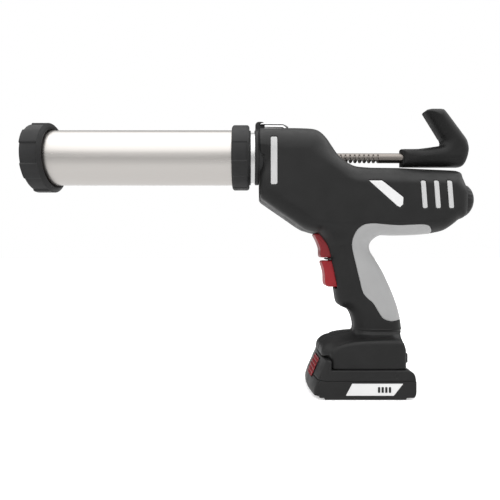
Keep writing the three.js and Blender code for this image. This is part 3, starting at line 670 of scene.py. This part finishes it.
def make_cap():
    """The screw cap: six sunk flats on its drum, a smooth rear flange and an open front."""
    mouth, flange, depth = 20.2, -305.5, 1.5

    def swell(x, r, turn):
        if r < 30:
            return r
        drum = float(smoothstep(flange + 0.5, flange, x))
        return r - depth * drum * flat_share(turn, 6, 16.8, 0.7, -3.1)

    profile = [
        (CAP_FRONT, mouth), (CAP_FRONT, 34.0, 0.5), (-321.5, CAP_RADIUS, 0.5),
        (flange, CAP_RADIUS, 0.1), (flange + 0.5, CAP_RADIUS, 0.2), (-302.8, 31.6, 0.9),
        (-302.2, 29.6, 0.8), (-303.4, 28.1, 0.6), (-311.6, 28.1), (-311.6, 27.8), (-315.4, 27.8),
        (-315.4, mouth),
    ]
    made = lathe("front_cap_shell", profile, segments=360, swell=swell, angle=28)
    finish_piece(made, "ring", "cap", "ring_plastic", "front_cap")


def make_barrel():
    """The tube, and the ring that holds its rear end."""
    front, rear, bore = -311.9, -107.2, 26.1
    tube = lathe("barrel_tube_skin", [
        (front, bore), (front, TUBE_RADIUS, 0.5), (rear, TUBE_RADIUS, 0.5), (rear, bore),
    ], segments=192, radius=0.3)
    finish_piece(tube, "tube", "barrel", "tube_aluminium", "barrel_tube")

    def swell(x, r, turn):
        return r - 0.7 * flat_share(turn, 6, 16, 1.2) if r > 31 and x < -106.5 else r

    ring = lathe("rear_ring_shell", [
        (-121.5, 27.9, 0.5), (-121.5, 30.6, 1.0), (-120.0, RING_RADIUS, 1.0),
        (-106.2, RING_RADIUS, 0.6), (-104.6, 31.6, 0.6), (-104.1, 30.0, 0.5), (-104.1, 27.2, 0.3),
        (-102.8, 27.2, 0.3), (-102.8, 25.6, 0.2), (-107.0, 25.6, 0.1), (-107.0, 27.9, 0.1),
    ], segments=360, swell=swell, angle=28)
    finish_piece(ring, "ring", "barrel", "ring_plastic", "rear_ring")


def make_spigot():
    front, rear, bore = -122.0, -84.0, 14.0
    made = lathe("barrel_spigot_turned", [
        (front, bore), (front, 24.6, 0.6), (-121.0, SPIGOT_RADIUS, 0.5), (rear, SPIGOT_RADIUS),
        (rear, bore),
    ], segments=160)
    finish_piece(made, "cast", "housing", "cast_aluminium", "barrel_spigot")


def make_collar():
    """The nose collar, with the lug that the hanging loop turns in."""
    def field(x, y, z):
        r = np.hypot(y, z - AXIS_Z)
        groove = 0.7 * bump_at(x, -94.6, 0.5) + 0.5 * bump_at(x, -90.2, 0.4)
        band = keep(r - COLLAR_RADIUS + groove, np.abs(x + 92.4) - 6.4, 1.4)
        lug = rounded(bar_distance(x, z, (-98.2, 255), (-88.6, 271.3), 3.6), y, 3.0, 1.2)
        made = cut(join(band, lug, 2.5), r - SPIGOT_RADIUS - 0.3)
        eye = np.hypot(x - LOOP_PIN[0], z - LOOP_PIN[1]) - WIRE_RADIUS - 0.25
        return cut(made, eye, 0.3)

    made = carve("nose_collar_ring", field, (-99.5, -28, 205), (-85.5, 28, 272), 0.6, 40)
    finish_piece(made, "ring", "housing", "ring_plastic", "nose_collar")


def make_loop():
    """The hanging loop: a bent wire that passes through the lug and lies back on the housing."""
    half, reach, drop = 4.8, 27.0, 2.2
    lean = math.radians(-0.5)
    flat = [(0, 0), (0, 1.8), (0.3, 3.4), (1.8, 4.3), (6, half), (14, half), (reach - 4, half),
            (reach - 1.2, 3.6), (reach, 1.6), (reach + 0.1, 0)]
    side = catmull(flat, 5)
    path = [(p[0], -p[1]) for p in reversed(side)] + [(p[0], p[1]) for p in side[1:]]
    points = []
    for along, across in path:
        fall = drop * float(smoothstep(reach - 5, reach, along))
        height = LOOP_PIN[1] + along * math.sin(lean) - fall
        points.append((LOOP_PIN[0] + along * math.cos(lean), across, height))
    points.append(points[0])
    made = sweep("hang_loop_wire", points, WIRE_RADIUS)
    finish_piece(made, "bright", "loop", "bright_steel", "hang_loop")


# ---------------------------------------------------------------- rod, plunger and pull handle
HOOK = outline(
    [(HOOK_FACE, 243.6), (HOOK_FACE, 225.3)],
    [(HOOK_FACE, 225.3), (80, 225.3), (108.4, 225.3)],
    [(108.4, 225.3), (111.6, 226.0), (114.4, 229.4), (116.8, 235.7), (118.0, 243.3), (116.4, 251.2),
     (114.4, 255)],
    [(95.4, 280.6), (92.6, 283.4), (89.6, 284.2)],
    [(80.5, 284.2), (76.5, 283.4)],
    [(73.4, 281.2), (90.0, 254.2)],
    [(90.4, 254.2), (91.6, 250.6), (90.6, 247.6), (87.4, 246.3)],
    [(76, 244.6), (67.5, 243.6)],
)


def make_hook():
    """The pull handle: a sleeve on the rod that swells into a bent hook."""
    def field(x, y, z):
        sleeve = smoothstep(72, 58, x) * smoothstep(255, 246, z)
        half = mix(HOOK_HALF, SLEEVE_HALF, sleeve)
        made = rounded(area_distance(HOOK, x, z), y, half, mix(10.5, 7.6, sleeve))
        made = keep(made, HOOK_FACE - x, 1.6)
        groove = 0.35 * bump_at(x, HOOK_FACE + 2.1, 0.5) * smoothstep(60, 56, x)
        return cut(made + groove, rod_x(x, y, z, ROD_RADIUS + 0.2, AXIS_Z, 30, 66.3))

    made = carve("pull_handle_shell", field, (48, -13, 224), (120, 13, 286), 0.65)
    finish_piece(made, "hook", "rod", "body_plastic", "pull_handle")


def make_rod():
    """The rack rod: round steel with teeth cut across its underside."""
    first, last = -32, 16

    def field(x, y, z):
        made = rod_x(x, y, z, ROD_RADIUS, AXIS_Z, -281, 66)
        up = z - (AXIS_Z - ROD_RADIUS)
        place = (x - 0.14 * (up - 2.5) + 50) / TOOTH_PITCH
        off = np.abs(place - np.clip(np.round(place), first, last)) * TOOTH_PITCH
        gap = keep(off - 0.7 - 0.22 * np.maximum(TOOTH_DEPTH - up, 0), up - TOOTH_DEPTH, 0.8)
        around = np.hypot(y, z - AXIS_Z)
        flute = keep(off - 0.75, np.maximum(ROD_RADIUS - 1.0 - around, up - 7.8), 0.8)
        return cut(made, np.minimum(gap, flute), 0.4)

    toothed = carve("rack_rod_steel", field, (-281.5, -5.4, 229), (66.5, 5.4, 240), 0.42)
    finish_piece(toothed, "steel", "rod", "rod_steel", "rack_rod")


# ---------------------------------------------------------------- triggers
TRIGGER_UPPER = outline(
    [(-39.0, 155.9), (-36.4, 151), (-34.4, 146.2), (-33.1, 141.5), (-32.9, 135.4), (-32.1, 133.7)],
    [(-31.3, 133.3), (-12.5, 133.3)],
    [(-12.5, 157.4), (-38.6, 157.4)],
)
TRIGGER_LOWER = outline(
    [(-29.6, 130.3), (-31.2, 129.6), (-31.4, 127.4), (-30.1, 123.4), (-29, 118.6), (-28.5, 114.5),
     (-28.3, 108.2), (-27.3, 105.2), (-25.1, 103.9)],
    [(-12.5, 103.9), (-12.5, 130.3)],
)


def make_triggers():
    for word, shape, material, low, high in (
        ("upper", TRIGGER_UPPER, "red", 132, 159),
        # The lower trigger's brighter red is painted light.
        ("lower", TRIGGER_LOWER, "trigger_red_painted_lit", 103, 132),
    ):
        def field(x, y, z):
            made = rounded(area_distance(shape, x, z), y, TRIGGER_HALF, 1.6)
            return cut(made, np.hypot(x - TRIGGER_PIN[0], z - TRIGGER_PIN[1]) - 1.3)

        made = carve(f"trigger_{word}_cap", field, (-42.5, -9.5, low), (-11.5, 9.5, high), 0.5)
        finish_piece(made, material, f"trigger_{word}", "trigger_red", f"trigger_{word}")


# ---------------------------------------------------------------- speed dial
def make_dial():
    """The dial at the tail: a domed knob with fine ribs round its edge."""
    ribs, depth = 24, 0.25

    def swell(x, r, turn):
        rib = 0.5 - 0.5 * math.cos(turn * ribs)
        share = float(smoothstep(110, 111.5, x) * smoothstep(118.5, 116.5, x))
        return r - depth * rib * share if r > 12 else r

    made = lathe("speed_dial_knob", [
        (104.35, 0.2), (104.35, 16.4, 0.5), (105.6, DIAL_RADIUS, 0.8), (110.6, DIAL_RADIUS, 2.0),
        (116.0, 15.6, 3.5), (120.0, 10.4, 4), (121.2, 4.5, 3), (121.2, 0.2),
    ], centre_z=DIAL_Z, segments=288, radius=0.4, swell=swell, angle=60)
    finish_piece(made, "body", "dial", "body_plastic", "speed_dial")


# ---------------------------------------------------------------- battery
TRAY = outline(
    [(-41.5, 1.8), (-44.6, 2.8), (-46.1, 5.0), (-45.7, 8.0), (-43.7, 14), (-42.1, 17.9)],
    [(-38, 30), (52.6, 30)],
    [(52.6, 30), (52.8, 12), (52.5, 5.6), (51.6, 3)],
    [(50.6, 1.8), (49.0, 1.8)],
)
LID = outline(
    [(-47, 5), (-44.8, 11)],
    [(-42.1, 18), (-38.0, 27), (-35.4, 33), (-34.4, 35.6)],
    [(-33.8, 36.6), (-29.2, 36.6)],
    [(-29.2, 27.75), (44.5, 27.75)],
    [(44.5, 27.75), (48.4, 26.4), (51.3, 23.4), (52.6, 18)],
    [(52.6, 5), (20, 5)],
)
NOSE = outline(
    [(-46.2, -20), (-46.2, 5)],
    [(-46.2, 5), (-45.7, 8), (-43.7, 14), (-40.9, 20.4), (-38.0, 27), (-35.4, 33), (-33.8, 38)],
    [(-20, 60), (70, 60)],
    [(70, -20), (20, -20)],
)
CHEEK = outline(
    [(-27.3, 15), (-27.3, 35.2)],
    [(-27.3, 35.2), (-28.3, 36.4), (-29.8, 34.4), (-32.2, 29.8), (-34.4, 25.0), (-36.2, 19.5)],
    [(-36.8, 15), (-32, 15)],
)
BUTTON = outline(
    [(-35.9, 33.6), (-34.3, 32.6)],
    [(-37.4, 26.4), (-41.9, BUTTON_FOOT)],
    [(-43.9, BUTTON_FOOT), (-42.1, 20), (-39.0, 27), (-35.9, 33.6)],
)
PLATE = outline([(-14.3, 4.2), (31.1, 4.2)], [(40.3, 15.9), (-8.1, 15.9)])


def bowed(x, y):
    """The X that an outline of the battery is read at, so that its front bows out in the middle."""
    return x - NOSE_BOW * (y / 34.0) ** 2 * smoothstep(-18, -33, x)


def battery_skin(x, y, z):
    """The battery's outer form before its outline is trimmed: slab-sided, with a bowed nose."""
    front = mix(5.0, 7.0, smoothstep(-22, -37, x))
    return rounded(area_distance(NOSE, bowed(x, y), z), y, BATTERY_HALF, front)


def cell_room(x, y, z):
    """The hollow that the cells lie in, kept inside the sloping nose."""
    room = block(x, y, z, (-40.3, -32.9, 3.2), (50.6, 32.9, 21.5), 3)
    return keep(room, area_distance(TRAY, bowed(x, y), z) + 2.0, 1.0)


def button_room(x, y, z):
    """The opening for the button, deep enough for it to be pressed."""
    gap, travel = 0.4, 2.6
    here = rounded(area_distance(BUTTON, bowed(x, y), z) - gap, y, BUTTON_HALF + gap, 1)
    pressed = rounded(area_distance(BUTTON, bowed(x, y) - travel, z) - gap, y, BUTTON_HALF + gap, 1)
    return np.minimum(here, pressed)


def make_battery():
    def tray(x, y, z):
        made = keep(battery_skin(x, y, z), area_distance(TRAY, bowed(x, y), z), 1.5)
        made = keep(made, z - 17.7, 0.6)
        pad = block(x, y, z, (-33.6, -35.7, 0.1), (43.3, 35.7, 6), 0.8)
        made = join(made, pad, 0.6)
        for side in (-1, 1):
            notch = block(x, y, z, (-42.5, side * 34 - 4, 0), (-38.5, side * 34 + 4, 5.0), 0.8)
            made = cut(made, notch, 0.5)
        return cut(cut(made, cell_room(x, y, z)), button_room(x, y, z), 0.4)

    def lid(x, y, z):
        made = keep(battery_skin(x, y, z), area_distance(LID, bowed(x, y), z), 1.6)
        cheek = rounded(area_distance(CHEEK, x, z), y, BATTERY_HALF, 4.5)
        made = cut(join(made, cheek, 2.0), body_field(x, y, z) - 0.15)
        made = keep(made, 17.95 - z, 0.6)
        rib = block(x, np.abs(y), z, (-8, 33, 17.95), (39, 36.6, 18.9), 0.3)
        made = join(made, rib)
        step = bar_distance(x, z, (32.4, 20.6), (35.6, 24.2), 0.6)
        made = cut(made, np.maximum(step, 35.5 - np.abs(y)), 0.3)
        return cut(cut(made, button_room(x, y, z), 0.4), cell_room(x, y, z))

    def button(x, y, z):
        at_x = bowed(x, y)
        flat = area_distance(BUTTON, at_x, z)
        rib = 0.5 + 0.5 * np.cos((z - BUTTON_FOOT) * 2 * math.pi / RIB_PITCH)
        rib = rib * smoothstep(BUTTON_HALF - 1.2, BUTTON_HALF - 2.6, np.abs(y))
        front = smoothstep(-1.4, -0.3, area_distance(BUTTON, at_x - 1.2, z))
        return rounded(flat, y, BUTTON_HALF, 1.4) + 0.8 * (1 - rib) * front

    made = carve("battery_tray_case", tray, (-47.5, -37, -0.5), (54, 37, 19), 0.7)
    finish_piece(made, "battery", "battery", "inner_plastic", "battery_tray")
    made = carve("battery_lid_case", lid, (-45, -37, 17), (54, 37, 38), 0.8)
    finish_piece(made, "battery", "battery", "inner_plastic", "battery_lid")
    made = carve("latch_button_ribbed", button, (-45, -14, 14.5), (-33, 14, 35), 0.4)
    finish_piece(made, "red", "latch", "trigger_red", "latch_button")


# ---------------------------------------------------------------- battery plate
def make_plates():
    """A plain pale plate on each side of the battery, with four charge bars printed on it."""
    for side, word in ((-1, "left"), (1, "right")):
        def field(x, y, z):
            flat = area_distance(PLATE, x, z) + 0.2
            return keep(flat, np.abs(side * y - BATTERY_HALF - 0.05) - 0.3, 0.3)

        near, far = sorted((side * 35.2, side * 36.9))
        made = carve(f"battery_plate_{word}", field, (-16, near, 3), (42, far, 17.5), 0.4, 40)
        finish_piece(made, "label", "battery", "label_white")
        bottom, top = CHARGE_BARS["z"]
        for i in range(CHARGE_BARS["count"]):
            bar_low = CHARGE_BARS["x"] + i * CHARGE_BARS["pitch"]
            bar_high = bar_low + CHARGE_BARS["width"]

            def bar(x, y, z):
                flat = bar_distance(x, z, (bar_low, bottom), (bar_high, top), 0.4)
                return keep(flat, np.abs(side * y - BATTERY_HALF - 0.3) - 0.2, 0.15)

            near, far = sorted((side * 35.9, side * 36.8))
            made = carve(f"charge_bar_{word}_{i + 1}", bar, (bar_low - 1, near, 6),
                         (bar_high + 1, far, 14), 0.3, 40)
            finish_piece(made, "battery", "battery", "label_white")


# ---------------------------------------------------------------- carried-over CAD nodes
CARRIED = {
    "steel": ["rack_pinion", "upper_spur_gear", "lower_shaft", "lower_spur_gear", "bevel_wheel",
              "bevel_pinion", "plunger_plate", "plunger_nut", "upper_bearing_left",
              "upper_bearing_right", "lower_bearing_left", "lower_bearing_right"],
    "cast": ["gear_plate_left", "gear_plate_right", "gearbox", "motor"],
    "brass": ["rod_guide_front", "rod_guide_rear"],
    "bright": ["housing_screw_1", "housing_screw_2", "housing_screw_3", "housing_screw_4"],
    # The steel trigger pin and springs take the dark inner nylon as painted shade in the trigger
    # slot.
    "inner": ["switch", "terminal_block", "trigger_pin", "trigger_spring_upper",
              "trigger_spring_lower"],
    "board": ["control_board"],
    "rubber": ["plunger_seal", "seat_ring"],
    "cell": [f"battery_cell_{i}" for i in range(1, 6)],
}


def dress_carried():
    for material, names in CARRIED.items():
        for name in names:
            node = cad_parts[name]
            node.data.materials.clear()
            node.data.materials.append(MATERIALS[material])


# ---------------------------------------------------------------- camera, floor and light
def make_camera():
    data = bpy.data.cameras.new("camera")
    data.sensor_width = 36
    data.lens = 30.0
    made = bpy.data.objects.new("camera", data)
    made.location = (-0.1036, -0.426, 0.1408)
    made.rotation_euler = (math.radians(90), 0, 0)
    bpy.context.scene.collection.objects.link(made)
    bpy.context.scene.camera = made


def make_floor():
    mesh = bpy.data.meshes.new("floor")
    size = 6.0
    mesh.from_pydata([(-size, -size, 0), (size, -size, 0), (size, size, 0), (-size, size, 0)],
                     [], [(0, 1, 2, 3)])
    made = bpy.data.objects.new("floor", mesh)
    bpy.context.scene.collection.objects.link(made)
    made.location.z = -0.0002
    material, tree, shader, where = links_of("pale_floor")
    tree.links.new(ramp(tree, noise(tree, where, 3.0), [(0.3, grey(0.86)), (0.7, grey(0.88))]),
                   shader.inputs["Base Color"])
    shader.inputs["Roughness"].default_value = 0.9
    shader.inputs["Specular IOR Level"].default_value = 0.0
    shader.inputs["Emission Color"].default_value = (1, 1, 1, 1)
    shader.inputs["Emission Strength"].default_value = 0.42
    mesh.materials.append(material)


def make_card(name, near, far, strength):
    """A glowing sheet on the floor from Y = near to Y = far in metres, seen only by reflections."""
    mesh = bpy.data.meshes.new(name)
    mesh.from_pydata([(-3, far, 0), (3, far, 0), (3, near, 0), (-3, near, 0)], [], [(0, 1, 2, 3)])
    made = bpy.data.objects.new(name, mesh)
    bpy.context.scene.collection.objects.link(made)
    made.location.z = 0.0004
    material, _, shader, _ = links_of(name)
    shader.inputs["Base Color"].default_value = (0, 0, 0, 1)
    shader.inputs["Specular IOR Level"].default_value = 0.0
    shader.inputs["Emission Color"].default_value = (1, 1, 1, 1)
    shader.inputs["Emission Strength"].default_value = strength
    mesh.materials.append(material)
    made.visible_camera = False
    made.visible_shadow = False
    made.visible_diffuse = False


def area_light(name, place, aim, width, height, power):
    data = bpy.data.lights.new(name, "AREA")
    data.shape = "RECTANGLE"
    data.size = width
    data.size_y = height
    data.energy = power
    made = bpy.data.objects.new(name, data)
    made.location = place
    made.rotation_euler = (Vector(aim) - Vector(place)).to_track_quat("-Z", "Y").to_euler()
    bpy.context.scene.collection.objects.link(made)


def make_light():
    """Soft studio light: a pale dome, brighter overhead and dimmer behind, and two softboxes."""
    world = bpy.data.worlds.new("studio")
    bpy.context.scene.world = world
    world.use_nodes = True
    tree = world.node_tree
    tree.nodes.clear()
    out = tree.nodes.new("ShaderNodeOutputWorld")
    where = tree.nodes.new("ShaderNodeTexCoord")
    split = tree.nodes.new("ShaderNodeSeparateXYZ")
    tree.links.new(where.outputs["Generated"], split.inputs["Vector"])
    dome = tree.nodes.new("ShaderNodeBackground")
    dome.inputs["Strength"].default_value = 1.6
    rise = [(0.0, grey(0.28)), (0.08, grey(0.31)), (0.21, grey(0.47)), (0.36, grey(0.8)),
            (0.46, grey(1.0))]
    back = [(0.4, grey(1.0)), (0.72, grey(0.14))]
    product = tree.nodes.new("ShaderNodeVectorMath")
    product.operation = "MULTIPLY"
    tree.links.new(ramp(tree, split.outputs["Z"], rise), product.inputs[0])
    tree.links.new(ramp(tree, split.outputs["Y"], back), product.inputs[1])
    tree.links.new(product.outputs["Vector"], dome.inputs["Color"])
    plain = tree.nodes.new("ShaderNodeBackground")
    plain.inputs["Color"].default_value = (1, 1, 1, 1)
    plain.inputs["Strength"].default_value = 1.0
    path = tree.nodes.new("ShaderNodeLightPath")
    mixer = tree.nodes.new("ShaderNodeMixShader")
    tree.links.new(path.outputs["Is Camera Ray"], mixer.inputs["Fac"])
    tree.links.new(dome.outputs["Background"], mixer.inputs[1])
    tree.links.new(plain.outputs["Background"], mixer.inputs[2])
    tree.links.new(mixer.outputs["Shader"], out.inputs["Surface"])
    area_light("overhead", (-0.1, -0.25, 1.1), (-0.1, 0, 0.2), 1.6, 0.8, 2.5)
    area_light("front_fill", (-0.5, -1.5, 0.5), (-0.1, 0, 0.15), 1.2, 0.9, 0.6)
    bpy.context.scene.view_settings.view_transform = "Standard"
    bpy.context.scene.view_settings.look = "None"


def main():
    make_camera()
    make_housing()
    make_cap()
    make_barrel()
    make_spigot()
    make_collar()
    make_loop()
    make_hook()
    make_rod()
    make_triggers()
    make_dial()
    make_battery()
    make_plates()
    dress_carried()
    make_floor()
    make_card("near_card", 2.0, -0.36, 0.88)
    make_card("middle_card", -0.36, -0.9, 0.7)
    make_card("far_card", -0.9, -4.0, 0.46)
    make_light()


main()
